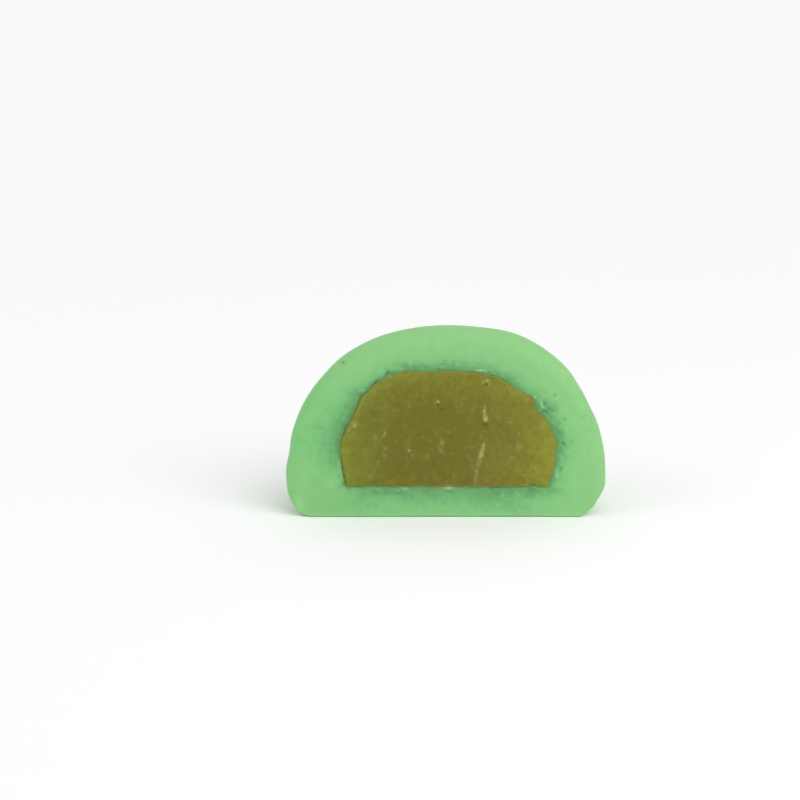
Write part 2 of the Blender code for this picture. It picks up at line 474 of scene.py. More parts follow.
TEARS = (  # where the skin has torn beside the paste
    Mark(14.2, 15.70, 1.5, 1.2, 1.0),
    Mark(15.4, 12.90, 1.6, 0.9, 0.8),
    Mark(15.9, 9.90, 0.9, 0.8, 0.8),
    Mark(15.3, 8.10, 0.7, 0.5, 0.6),
    Mark(8.4, 20.30, 1.2, 2.6, 0.5),
    Mark(-4.8, 21.60, 0.8, 2.6, 0.7),
    Mark(2.0, 21.80, 0.9, 3.0, 0.6),
    Mark(-14.2, 14.50, 2.0, 1.0, 0.7),
    Mark(-15.8, 9.90, 1.2, 0.9, 0.7),
    Mark(-8.5, 3.40, 0.8, 3.4, 0.8),
    Mark(9.4, 3.30, 0.9, 3.2, 1.0),
    Mark(0.0, 3.50, 0.6, 3.0, 0.4),
)
BRUISES_AND_PAINTED_SHADE = (  # soft dark patches and dashes in the skin, with painted shadow in the crevice at the paste's lower left and painted shade on the rims
    Mark(-6.00, 3.60, 0.90, 8.00, 0.40),
    Mark(7.00, 3.60, 0.90, 6.00, 0.46),
    Mark(-12.20, 2.90, 1.00, 2.40, 0.30),
    Mark(-12.60, 3.80, 0.60, 1.70, 0.45),
    Mark(-15.00, 1.80, 1.60, 4.00, 0.32),
    Mark(13.10, 3.40, 0.70, 1.80, 0.65),
    Mark(10.20, 18.60, 1.10, 0.25, 0.4, -59),
    Mark(7.40, 3.10, 0.25, 0.35, 0.25),
    Mark(-2.30, 3.00, 0.35, 0.50, 0.3),
    # painted shadow: the dark line of the crevice where skin and paste part, lower left
    Mark(-14.48, 6.20, 1.60, 0.12, 1.1, -9),
    Mark(-17.50, 5.90, 1.90, 1.60, 0.28),
    # painted shadow at the lower end of the same crevice line
    Mark(-14.45, 4.85, 0.45, 0.18, 1.3),
    Mark(-15.90, 15.80, 0.60, 0.60, 0.35),
    # painted shadow along the upper left rim of the cut face
    Mark(-18.40, 17.00, 2.40, 0.90, 0.25, 41),
    Mark(-15.25, 9.80, 0.45, 0.20, 0.5),
    Mark(-10.20, 20.60, 0.70, 0.60, 0.35),
    Mark(-5.10, 4.25, 0.20, 0.60, 0.5),
    Mark(-4.60, 20.95, 0.20, 0.90, 0.6),
    Mark(14.10, 4.30, 0.30, 0.20, 0.5),
    Mark(17.00, 11.00, 0.50, 0.40, 0.35),
    Mark(-11.50, 4.15, 0.25, 0.60, 0.6),
    Mark(-11.75, 3.15, 0.40, 0.40, 0.6),
    Mark(-12.60, 2.20, 0.20, 0.40, 0.25),
    Mark(13.45, 16.35, 0.38, 0.30, 1.2),
    Mark(14.30, 15.65, 0.85, 0.95, 0.9),
    Mark(15.00, 15.60, 0.40, 0.30, 0.4),
    Mark(13.35, 14.98, 0.26, 0.42, 1.6),
    Mark(12.55, 15.55, 0.45, 0.20, 1.2),
    Mark(14.10, 14.55, 0.70, 0.30, 0.6, -35),
    Mark(14.80, 12.80, 0.70, 0.22, 0.7, -25),
    Mark(15.40, 12.00, 0.50, 0.50, 0.9),
    Mark(15.55, 9.55, 0.30, 0.65, 1.0),
    Mark(15.30, 8.20, 0.40, 0.18, 1.0),
    Mark(14.42, 5.20, 0.55, 0.20, 0.9, 10),
    Mark(14.50, 3.00, 0.50, 0.50, 0.25),
    # painted shade on the right rim of the cut face
    Mark(20.10, 13.40, 2.20, 0.80, 0.22),
    Mark(13.20, 18.05, 0.50, 0.18, 0.3, -65),
    Mark(-3.80, 21.30, 0.28, 1.50, 0.5),
    Mark(-2.30, 21.10, 0.25, 0.60, 0.5),
    Mark(0.70, 21.70, 0.60, 0.30, 0.45),
    Mark(2.10, 21.45, 0.25, 0.50, 0.3),
    Mark(5.50, 20.60, 0.15, 0.30, 1.1),
    Mark(6.50, 20.75, 0.20, 0.45, 0.3),
    Mark(-7.10, 20.65, 0.35, 0.30, 0.6),
    Mark(-13.70, 16.30, 1.50, 0.50, 0.6, 34),
    Mark(-15.30, 13.50, 1.60, 0.30, 0.5, 24),
    Mark(-15.85, 9.35, 0.30, 0.65, 0.8),
    Mark(-10.10, 3.60, 0.30, 0.60, 0.4),
    Mark(-9.70, 3.35, 0.14, 0.35, 0.5),
    Mark(-8.55, 3.45, 0.14, 0.35, 0.5),
    Mark(-6.80, 3.45, 0.15, 0.60, 0.6),
    Mark(-1.85, 2.90, 0.60, 0.28, 0.5),
    Mark(0.15, 3.60, 0.12, 0.55, 0.5),
    Mark(2.80, 3.75, 0.25, 1.40, 0.35),
    Mark(6.45, 3.75, 0.70, 0.11, 0.8, -38),
    Mark(6.25, 4.05, 0.25, 0.16, 1.0),
    Mark(8.90, 3.30, 0.45, 0.35, 0.6),
    Mark(11.50, 4.25, 0.28, 0.28, 0.9),
    Mark(12.00, 3.90, 0.40, 0.90, 0.75),
    Mark(11.00, 2.90, 0.30, 0.50, 0.5),
    Mark(8.25, 2.15, 0.35, 0.25, 0.3),
    Mark(13.30, 1.30, 0.20, 0.35, 0.3),
)
SKIN_HOLES = (
    Mark(14.85, 17.45, 0.30, 0.20, 0.8, 50),
    Mark(16.25, 14.00, 0.24, 0.22, 0.8),
    Mark(17.20, 10.95, 0.16, 0.14, 0.5),
    Mark(16.15, 10.45, 0.20, 0.18, 1.0),
    Mark(15.80, 6.90, 0.32, 0.18, 1.2, 20),
    Mark(18.90, 14.35, 0.50, 0.12, 0.7, 60),
    Mark(19.80, 12.30, 0.14, 0.40, 0.3),
    Mark(-14.50, 21.85, 0.24, 0.26, 1.2, -33),
    Mark(13.42, 15.12, 0.22, 0.38, 0.6),
    Mark(-8.40, 20.50, 0.50, 0.14, 1.2, 42),
    Mark(-10.12, 19.12, 0.60, 0.14, 1.1, 45),
    Mark(-1.30, 21.05, 0.18, 0.14, 1.0),
    Mark(-0.85, 21.80, 0.11, 0.11, 0.7),
    Mark(0.70, 22.25, 0.11, 0.11, 0.5),
)
SKIN_THREADS_AND_GLINTS = (  # pale shreds of dough that stand out of the face, and painted glints along the paste's lower edge
    Mark(13.00, 16.10, 0.42, 0.13, 1.0, -20),
    Mark(12.15, 17.20, 0.34, 0.16, 1.2, -30),
    Mark(14.60, 13.45, 0.12, 0.12, 0.6),
    Mark(16.10, 13.60, 0.40, 0.10, 0.35, -40),
    Mark(14.90, 16.80, 0.35, 0.10, 0.3, -45),
    Mark(17.00, 7.90, 0.35, 0.10, 0.3, 15),
    Mark(16.20, 6.20, 0.30, 0.12, 0.35, -30),
    Mark(-0.80, 21.45, 0.12, 0.20, 0.5),
    Mark(1.15, 21.80, 0.12, 0.14, 0.5),
    Mark(4.40, 20.98, 0.70, 0.16, 1.1, 88),
    Mark(5.30, 20.80, 0.25, 0.12, 0.8),
    Mark(-11.72, 18.20, 0.34, 0.25, 0.7),
    Mark(-12.55, 17.00, 0.60, 0.15, 0.3, 20),
    Mark(7.50, 21.15, 0.50, 0.60, 0.5),
    Mark(15.35, 6.05, 0.50, 0.28, 0.8),
    Mark(15.95, 7.90, 0.80, 0.20, 0.3),
    Mark(6.00, 20.80, 0.25, 0.10, 0.5, -50),
    Mark(-6.50, 21.20, 0.10, 0.30, 0.5),
    Mark(-9.10, 20.35, 0.20, 0.12, 0.6, -30),
    Mark(-7.95, 21.20, 0.12, 0.18, 0.5),
    Mark(-15.25, 7.90, 0.80, 0.16, 0.40, -6),
    Mark(-14.92, 6.40, 1.60, 0.18, 0.50, -13),
    Mark(-14.20, 3.80, 0.60, 0.12, 0.4, -50),
    Mark(-9.10, 3.45, 0.25, 0.10, 0.5),
    Mark(-9.65, 3.90, 0.10, 0.30, 0.4),
    Mark(-5.90, 4.00, 0.16, 0.28, 0.8),
    # painted glints along the paste's lower edge, in this mark and the next
    Mark(0.30, 4.22, 0.24, 0.75, 1.6),
    Mark(3.30, 4.38, 0.14, 1.60, 0.9),
    Mark(5.55, 4.38, 0.16, 0.32, 1.0),
    Mark(4.85, 20.78, 0.14, 0.25, 0.5),
    Mark(-16.50, 11.70, 0.90, 0.45, 0.3),
    Mark(7.85, 3.30, 0.50, 0.25, 0.3),
    Mark(9.95, 3.10, 0.35, 0.14, 0.5, -40),
    Mark(-8.25, 2.90, 0.20, 0.25, 0.3),
    Mark(-0.95, 2.35, 0.12, 0.12, 0.4),
    Mark(-12.70, 3.60, 0.40, 0.60, 0.2),
)
SOFT_DENTS = (  # the cake's own unevenness: x, depth, height, size, how far out
    (-22.0, 1.5, 8.8, 1.2, -0.30),
    (-22.4, 1.5, 6.0, 2.0, 0.15),
    (-14.6, 2.2, 22.2, 2.4, 0.15),
    (20.0, 2.0, 14.6, 4.5, -0.56),
    (10.0, 3.0, 25.8, 4.3, 0.44),
    (15.0, 3.0, 22.6, 3.5, 0.12),
    (20.4, 2.0, 1.0, 2.0, -0.70),
    (20.5, 0.8, 1.5, 1.0, 0.25),
    (20.8, 2.0, 13.4, 2.0, 0.20),
    (18.6, 2.0, 18.8, 1.6, -0.12),
    (22.4, 2.0, 4.5, 4.5, -0.20),
    (-9.0, 14.0, 22.0, 8.0, 0.30),
    (10.0, 18.0, 12.0, 8.0, -0.35),
    (-16.0, 14.0, 6.0, 6.0, 0.25),
)
STAIN_WIDTHS = (  # how much further the paste has stained the skin, or less far if below 0, by angle
    (142, 10, -0.45),
    (172, 24, 1.25),
    (178, 12, 0.7),
    (-163, 9, -0.85),
    (-142, 9, 1.3),
    (-118, 22, 1.4),
    (-62, 22, 1.5),
    (-42, 16, 1.5),
    (-17, 8, -0.4),
    (0, 22, 0.3),
)
CORNER_LIGHT = Mark(-21.0, 1.6, 1.3, 1.0, 2.5)  # painted light on the thin lower left corner of the cut face
PLEATS = ((165, 13, 1.0), (-176, 6, 0.6))  # where the skin is folded along the paste's edge, by angle
PLEAT = 0.62  # from one fold to the next
PLEAT_WANDER = 0.25  # how far the folds stray from lines along the edge

# Fades, from where a thing is absent to where it is whole, as distances from the paste
TEAR_FADE = (3.2, 1.0)
PLEAT_FADE = (2.6, 0.8)
STAIN_FADE = (2.8, 0.3)
TOUCH_FADE = (0.55, 0.05)
SHADOW_FADE = (1.1, 0.1)
RIM_FADE = (2.4, 1.2)  # of all marks of the cut face, as depths behind the cut
SKIN_LEFT_GREEN_FADE = (-8.0, -22.0)  # along X: the left of the skin is greener

MOUTH_SLACK = 0.2  # the lip counts as cut face this far inside the mouth
LEAST_STAIN_WIDTH = 0.35
STRONGEST_MARK = 1.2  # marks of one kind that overlap add up to no more
FOOT_HIGHLIGHT_HEIGHT, FOOT_HIGHLIGHT_SIZE = 0.42, 0.18  # height of the painted highlight, a lighter line along the foot of the cut face
UNEVENNESS = ((0.12, 9.0, 11), (0.02, 3.2, 12))  # amount, wavelength, seed
STAIN_UNEVENNESS = ((0.05, 1.3, 15),)
CRUMB_LENGTH, CRUMB_SEED = 1.0, 13
FLECK_LENGTH, FLECK_SEED = 0.4, 14
PITS_FADE, PIT_FLECKS = (0.0, 0.6), 0.6  # pits lie where crumbs, and a share of the flecks, are high
BRUISE_AND_SHADE_FLECKS = 0.5
PIT_DARKNESS, BRUISE_AND_SHADE_DARKNESS, FOLD_DARKNESS = 0.5, 0.8, 0.15  # a hole's is 1

# How far each mark moves the skin at its strongest, outwards
FLECK_RELIEF, TORN_FLECK_RELIEF = 0.03, 0.07
PIT_RELIEF, HOLE_RELIEF, BRUISE_AND_SHADE_RELIEF = -0.10, -0.20, -0.08
THREAD_AND_GLINT_RELIEF, FOLD_RELIEF = 0.12, 0.025


def skin_looks(piece):
    """(how far to move each point along its normal, {name: what the material reads there})"""
    points = piece.points
    mouth = by_spoke(piece, MOUTH_REACH)
    outwards, backwards = np.maximum(piece.reach - mouth, 0), np.maximum(piece.depth - FACE_DIP, 0)
    from_paste = np.hypot(outwards, backwards)
    on_face = smooth_step(*RIM_FADE, piece.depth) * (piece.reach > mouth - MOUTH_SLACK)
    stain_width = np.maximum(1 + bumps_by_angle(piece.angle, STAIN_WIDTHS), LEAST_STAIN_WIDTH)
    settled = from_paste / stain_width

    soft = layered(points, UNEVENNESS)
    for x, depth, height, size, amount in SOFT_DENTS:
        away = points - np.array([x, CUT + depth, height])
        soft += amount * np.exp(-((away / size) ** 2).sum(axis=1))

    crumbs = noise_at(points, CRUMB_LENGTH, CRUMB_SEED)
    flecks = noise_at(points, FLECK_LENGTH, FLECK_SEED)
    torn = on_face * np.clip(marked(points, TEARS), 0, 1) * smooth_step(*TEAR_FADE, from_paste)
    pitted = torn * smooth_step(*PITS_FADE, crumbs + PIT_FLECKS * flecks)
    near = on_face * smooth_step(*STAIN_FADE, settled)
    holes = on_face * np.clip(marked(points, SKIN_HOLES), 0, STRONGEST_MARK)
    bruises_and_shade = marked(points, BRUISES_AND_PAINTED_SHADE) * (1 + BRUISE_AND_SHADE_FLECKS * flecks)
    bruised_and_shaded = on_face * np.clip(bruises_and_shade, 0, STRONGEST_MARK)
    threads_and_glints = on_face * np.clip(marked(points, SKIN_THREADS_AND_GLINTS), 0, STRONGEST_MARK)
    pleated = np.clip(bumps_by_angle(piece.angle, PLEATS), 0, 1) * smooth_step(*PLEAT_FADE, from_paste)
    folds = on_face * pleated * np.sin(2 * math.pi * (from_paste + PLEAT_WANDER * crumbs) / PLEAT)

    lift = soft + near * (layered(points, STAIN_UNEVENNESS) + FLECK_RELIEF * flecks) + FOLD_RELIEF * folds
    lift += TORN_FLECK_RELIEF * torn * flecks + PIT_RELIEF * pitted
    lift += HOLE_RELIEF * holes + BRUISE_AND_SHADE_RELIEF * bruised_and_shaded + THREAD_AND_GLINT_RELIEF * threads_and_glints
    # darkness of pits and holes, partly painted shade in their hollows; of bruises, with the painted shadow
    # and shade among them; and of folds
    dark = PIT_DARKNESS * pitted + holes + BRUISE_AND_SHADE_DARKNESS * bruised_and_shaded + FOLD_DARKNESS * folds
    foot_highlight = np.exp(-(((points[:, 2] - FOOT_HIGHLIGHT_HEIGHT) / FOOT_HIGHLIGHT_SIZE) ** 2))
    return lift, {
        "settled": settled,
        "on_face": on_face,
        "near": near,
        "touching": on_face * smooth_step(*TOUCH_FADE, from_paste),
        "shadow": on_face * smooth_step(*SHADOW_FADE, from_paste) * by_spoke(piece, GAPE),
        "fresh": smooth_step(*SKIN_LEFT_GREEN_FADE, points[:, 0]),
        # painted highlight along the foot of the cut face, and painted light on its lower left corner
        "foot": on_face * (foot_highlight + marked(points, [CORNER_LIGHT])),
        "dark": np.clip(dark, 0, STRONGEST_MARK),
        "pale": threads_and_glints,
        "torn": torn,
    }


# The paste

# Pairs of columns and rings, from the first pole on
PASTE_FACE_STEPS = ((20, 2), (40, 3), (80, 6), (160, 14), (320, 34), (640, 76))
PASTE_BACK_STEPS = ((320, 3), (160, 5), (80, 5), (40, 3), (20, 2))
PASTE_EDGE_RINGS = 5
PASTE_WALL = 0.4  # how far the paste's wall runs straight back from its edge
PASTE_CROWN = 0.3  # how far the middle of the paste stands out past the CAD solid's


def paste_loft():
    """The paste's rings: crowned cut face, edge, wall, back."""
    centre_depth = paste_low[1] - CUT - PASTE_CROWN
    edge_depth = FACE_DIP - PASTE_PROUD
    wall_depth = edge_depth + MEETING_EDGE
    flat_reach = PASTE_REACH - MEETING_EDGE
    total = sum(number for _, number in PASTE_FACE_STEPS)
    face = []
    for columns, number in PASTE_FACE_STEPS:
        for _ in range(number):
            share = (len(face) + 1) / total
            depth = edge_depth - (edge_depth - centre_depth) * (1 - share**2)
            face.append(Ring(flat_reach * share, depth, columns))
    edge = arc_rings(flat_reach, PASTE_REACH, edge_depth, wall_depth, PASTE_EDGE_RINGS, convex_first=True)
    wall = [Ring(PASTE_REACH, wall_depth), Ring(PASTE_REACH, wall_depth + PASTE_WALL)]
    back = rings_behind(PASTE_REACH, PASTE_BACK_STEPS)
    return loft(face + edge + wall + back, first_pole_depth=centre_depth, last_pole_depth=pole_depth(PASTE))


SMEARS_AND_GLINTS = (  # pale streaks and specks in the paste, and a painted glint along its lower edge
    Mark(-1.35, 16.60, 0.25, 0.25, 0.8),
    Mark(-12.90, 13.10, 0.27, 0.26, 0.9),
    Mark(-12.25, 15.70, 0.50, 0.15, 0.35, 25),
    Mark(-11.75, 16.40, 0.50, 0.15, 0.12, 25),
    Mark(-13.60, 12.60, 0.30, 0.17, 0.30, 30),
    Mark(-9.70, 19.20, 0.30, 0.15, 0.35, 60),
    Mark(-8.80, 11.80, 0.40, 0.18, 0.55, 20),
    Mark(-9.95, 11.50, 0.38, 0.16, 0.3, 10),
    Mark(-8.60, 9.90, 0.24, 0.24, 0.5),
    Mark(-8.70, 8.90, 0.28, 0.22, 0.4, -30),
    Mark(-0.75, 10.75, 0.50, 0.20, 0.35, -15),
    Mark(-0.85, 9.65, 0.55, 0.16, 0.45, -40),
    Mark(-5.30, 9.60, 0.20, 0.20, 0.8),
    Mark(-5.25, 10.40, 0.50, 0.25, 0.1),
    Mark(-4.80, 8.90, 0.24, 0.18, 0.4, -40),
    Mark(-2.60, 8.95, 0.24, 0.18, 0.5, -20),
    Mark(-10.60, 5.80, 0.40, 0.32, 0.3),
    Mark(-5.60, 7.50, 0.80, 0.20, 0.12, 35),
    Mark(-1.60, 12.20, 0.80, 0.20, 0.15, -35),
    Mark(5.35, 19.50, 0.19, 0.36, 0.8),
    Mark(5.78, 19.10, 0.26, 0.13, 0.5),
    Mark(4.90, 19.15, 0.22, 0.12, 0.4, 30),
    Mark(-7.95, 20.15, 0.32, 0.22, 0.5),
    Mark(5.12, 15.20, 0.65, 0.20, 0.75),
    Mark(5.30, 14.15, 0.38, 0.28, 1.1),
    Mark(5.05, 10.30, 0.55, 0.18, 0.6, 5),
    Mark(4.70, 9.10, 0.75, 0.30, 0.85, 14),
    Mark(4.32, 7.65, 0.60, 0.24, 0.25, 8),
    Mark(4.10, 6.60, 0.40, 0.22, 0.35, 8),
    Mark(4.00, 5.60, 0.70, 0.24, 0.30, 8),
    Mark(6.20, 8.50, 5.00, 3.20, 0.06),
    Mark(0.95, 5.80, 0.50, 0.15, 0.30, 25),
    # painted glint along the paste's lower edge, in this mark and the next
    Mark(0.30, 4.42, 0.10, 0.80, 0.50),
    Mark(3.40, 4.42, 0.10, 1.30, 0.25),
    Mark(5.60, 5.50, 0.40, 0.50, 0.20),
    Mark(10.80, 4.55, 0.12, 0.50, 0.30),
    Mark(8.75, 13.60, 0.15, 0.24, 0.4),
    Mark(10.00, 11.90, 0.20, 0.14, 0.4),
    Mark(9.85, 10.00, 0.50, 0.22, 0.35),
    Mark(12.20, 7.00, 0.22, 0.22, 0.35),
    Mark(7.20, 5.50, 0.20, 0.16, 0.35),
    Mark(13.10, 12.80, 0.16, 0.20, 0.35),
    Mark(13.70, 11.00, 0.16, 0.34, 0.25),
)
# pores and holes of the paste, and the painted shadow of the crevice at its lower left
PASTE_HOLES_AND_CREVICE_SHADE = (
    # painted shadow: the dark line where the paste parts from the skin, in this mark and the next
    Mark(-14.36, 5.60, 1.10, 0.14, 0.90, -9),
    Mark(-14.75, 8.10, 0.90, 0.12, 0.50, -9),
    Mark(13.40, 9.70, 0.25, 0.20, 0.25),
    Mark(3.20, 9.30, 1.20, 0.30, 0.15),
    Mark(-1.38, 16.05, 0.16, 0.17, 0.8),
    Mark(-0.85, 15.50, 0.14, 0.20, 0.6),
    Mark(5.30, 18.98, 0.18, 0.28, 0.9),
    Mark(5.20, 13.32, 0.23, 0.32, 0.95),
    Mark(5.35, 12.65, 0.12, 0.30, 0.4),
    Mark(-8.85, 11.15, 0.16, 0.22, 0.4),
    Mark(-3.60, 13.90, 0.24, 0.20, 0.3),
    Mark(-3.40, 10.50, 0.22, 0.20, 0.25),
    Mark(-2.20, 6.80, 0.20, 0.22, 0.3),
    Mark(-13.20, 7.10, 0.30, 0.16, 0.4, -30),
    Mark(-13.50, 11.90, 0.16, 0.14, 0.35),
    Mark(-5.30, 9.80, 0.14, 0.12, 0.3),
    Mark(9.60, 11.90, 0.12, 0.12, 0.35),
    Mark(12.10, 4.65, 0.12, 0.16, 0.3),
    Mark(7.90, 18.90, 0.20, 0.16, 0.45),
)
SHADES = (  # broad fields of the cut paste: lighter, or darker where the amount is below 0
    Mark(15.2, 9.3, 9.5, 5.8, 0.85),
    Mark(8.8, 17.3, 2.6, 2.8, 0.26),
    Mark(-15.0, 8.6, 6.5, 4.5, 0.50),
    Mark(-9.8, 17.4, 2.5, 2.6, 0.10),
    Mark(0.0, 20.5, 3.6, 16.0, 0.48),
    Mark(0.0, 6.0, 1.6, 12.0, 0.12),
    Mark(-7.2, 8.6, 3.0, 1.8, -0.30),
    Mark(-9.8, 7.6, 0.8, 0.35, -0.40),
    Mark(-1.0, 12.0, 4.5, 6.0, -0.20),
)
LIMES = (  # where the edge is greener and lighter, by angle
    (176, 14, 0.9),
    (-162, 5, 0.9),
    (142, 20, 0.8),
    (35, 28, 0.4),
    (-20, 14, 0.35),
)
RINDS = (  # where the edge is browner, by angle
    (113, 8, 0.7),
    (90, 9, 0.35),
    (67, 6, 1.0),
    (30, 4, 0.7),
    (9, 5, 0.8),
    (-2, 3, 0.8),
    (-10, 5, 0.8),
    (-18, 3, 0.7),
    (-25, 4, 1.0),
    (-47, 8, 0.7),
    (-100, 12, 0.3),
    (-135, 15, 0.8),
)
AMBER_SPOTS = (  # spots and strips just inside the edge
    Mark(-7.00, 5.10, 0.26, 1.80, 0.28),
    Mark(6.00, 4.95, 0.20, 3.00, 0.10),
    Mark(8.15, 19.00, 0.24, 0.28, 0.8),
    Mark(7.20, 19.55, 0.24, 0.28, 0.45),
    Mark(9.40, 17.90, 0.16, 0.40, 0.6),
    Mark(11.30, 16.80, 0.34, 0.24, 0.5),
    Mark(13.50, 13.65, 0.50, 0.18, 0.55, -15),
    Mark(14.75, 8.60, 0.70, 0.16, 0.4),
    Mark(-12.60, 14.90, 0.24, 0.20, 0.5),
    Mark(14.15, 6.30, 0.60, 0.18, 0.4, 10),
)

# Fades, from where a thing is absent to where it is whole, as distances inside the edge
RIND_FADE = (0.8, 0.1)
LIME_FADE = (1.8, 0.2)
FILM_FADE = (0.34, 0.0)  # a film of skin lies on the paste's very edge
LOW_FILM_FADE = (6.5, 5.0)  # as heights
PASTE_FACE_FADE = (FACE_DIP + 0.7, FACE_DIP + 0.1)  # as depths behind the cut
PASTE_LEFT_GREEN_FADE = (-5.0, -12.0)  # along X: the left of the paste is greener

STRONGEST_HOLE = 1.3
PLAIN_SHADE = 0.04
DRAG_LENGTH, DRAG_SEED, DRAG_STRETCH = 0.55, 21, (1, 1, 7)  # the knife dragged the paste up and down
GRAIN_LENGTH, GRAIN_SEED = 0.42, 22
LUMP_LENGTH, LUMP_SEED = 1.5, 23
CLOUDS = ((0.04, 3.5, 24),)  # amount, wavelength, seed
RIND_WANDER = ((0.3, 0.9, 25),)
LIME_WANDER = 0.8
SMEAR_AND_GLINT_GRAIN = 0.8
DRAG_SHADE = 0.04
LOW_FILM = 0.6  # how much thicker the film is along the paste's foot

# How far each mark moves the paste at its strongest, outwards
DRAG_RELIEF, GRAIN_RELIEF, LUMP_RELIEF = 0.025, 0.03, 0.05
SMEAR_AND_GLINT_RELIEF, PORE_RELIEF = 0.05, -0.22


def paste_looks(piece):
    """(how far to move each point along its normal, {name: what the material reads there})"""
    points = piece.points
    on_face = smooth_step(*PASTE_FACE_FADE, piece.depth)
    grain = noise_at(points, GRAIN_LENGTH, GRAIN_SEED)
    drag = noise_at(points, DRAG_LENGTH, DRAG_SEED, DRAG_STRETCH)
    lumps = noise_at(points, LUMP_LENGTH, LUMP_SEED)
    smears_and_glints = on_face * np.clip(marked(points, SMEARS_AND_GLINTS) * (1 + SMEAR_AND_GLINT_GRAIN * grain), 0, 1)
    holes = on_face * np.clip(marked(points, PASTE_HOLES_AND_CREVICE_SHADE), 0, STRONGEST_HOLE)
    uneven = DRAG_RELIEF * drag + GRAIN_RELIEF * grain + LUMP_RELIEF * lumps
    lift = on_face * (uneven + SMEAR_AND_GLINT_RELIEF * smears_and_glints + PORE_RELIEF * holes)

    inwards = by_spoke(piece, PASTE_REACH) - piece.reach
    rind = smooth_step(*RIND_FADE, inwards + layered(points, RIND_WANDER))
    lime = smooth_step(*LIME_FADE, inwards + LIME_WANDER * lumps)
    film = smooth_step(*FILM_FADE, inwards) * (1 + LOW_FILM * smooth_step(*LOW_FILM_FADE, points[:, 2]))
    return lift, {
        "rind": rind * np.clip(bumps_by_angle(piece.angle, RINDS), 0, 1),
        "lime": lime * np.clip(bumps_by_angle(piece.angle, LIMES), 0, 1),
        "amber": on_face * np.clip(marked(points, AMBER_SPOTS), 0, 1),
        "shade": PLAIN_SHADE + marked(points, SHADES) + layered(points, CLOUDS) + DRAG_SHADE * drag,
        "fresh": smooth_step(*PASTE_LEFT_GREEN_FADE, points[:, 0]),
        "pale": smears_and_glints,
        "film": on_face * film,
        "dark": holes,
    }


# From a loft to a Blender object

ON_THE_BASE = 1e-6  # points no higher than this stay flat on the ground


def as_object(name, piece, looks, material, body, node):
    """The mesh of a loft with its relief, riding on a body in place of a CAD node."""
    mesh = bpy.data.meshes.new(name)
    mesh.from_pydata(piece.points * MM, [], [tuple(int(i) for i in face) for face in piece.faces])
    mesh.validate()
    mesh.update()

    normals = np.empty(len(mesh.vertices) * 3, np.float32)
    mesh.vertex_normals.foreach_get("vector", normals)
    lift, fields = looks(piece)
    points = piece.points + normals.reshape(-1, 3) * lift[:, None]
    points[:, 2] = np.where(piece.points[:, 2] < ON_THE_BASE, 0.0, np.maximum(points[:, 2], 0.0))
    mesh.vertices.foreach_set("co", (points * MM).astype(np.float32).ravel())
    for field, values in fields.items():
        mesh.attributes.new(field, "FLOAT", "POINT").data.foreach_set("value", values.astype(np.float32))
    mesh.shade_smooth()
    mesh.update()
    mesh.materials.append(material)

    thing = bpy.data.objects.new(name, mesh)
    bpy.context.scene.collection.objects.link(thing)
    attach(thing, body)
    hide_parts(node)


# Materials


@dataclass(frozen=True)
class Patches:
    """Noise of a wavelength in millimetres, whose values from low to high are made least to most."""

    wavelength: float
    low: float
    high: float
    least: float = 0.0
    most: float = 1.0
    detail: float = 3.0
    roughness: float = 0.5


@dataclass(frozen=True)
class Tint:
    """A colour from 0 to 255, laid over a piece where its field, its patches or both say so."""

    colour: tuple
    strength: float = 1.0
    field: str = ""
    patches: Patches = None


def linear(red, green, blue):
    """A colour given from 0 to 255, as sRGB, in the linear values that shaders take."""
    found = []
    for value in (red, green, blue):
        share = value / 255
        found.append(share / 12.92 if share <= 0.04045 else ((share + 0.055) / 1.055) ** 2.4)
    return (*found, 1.0)


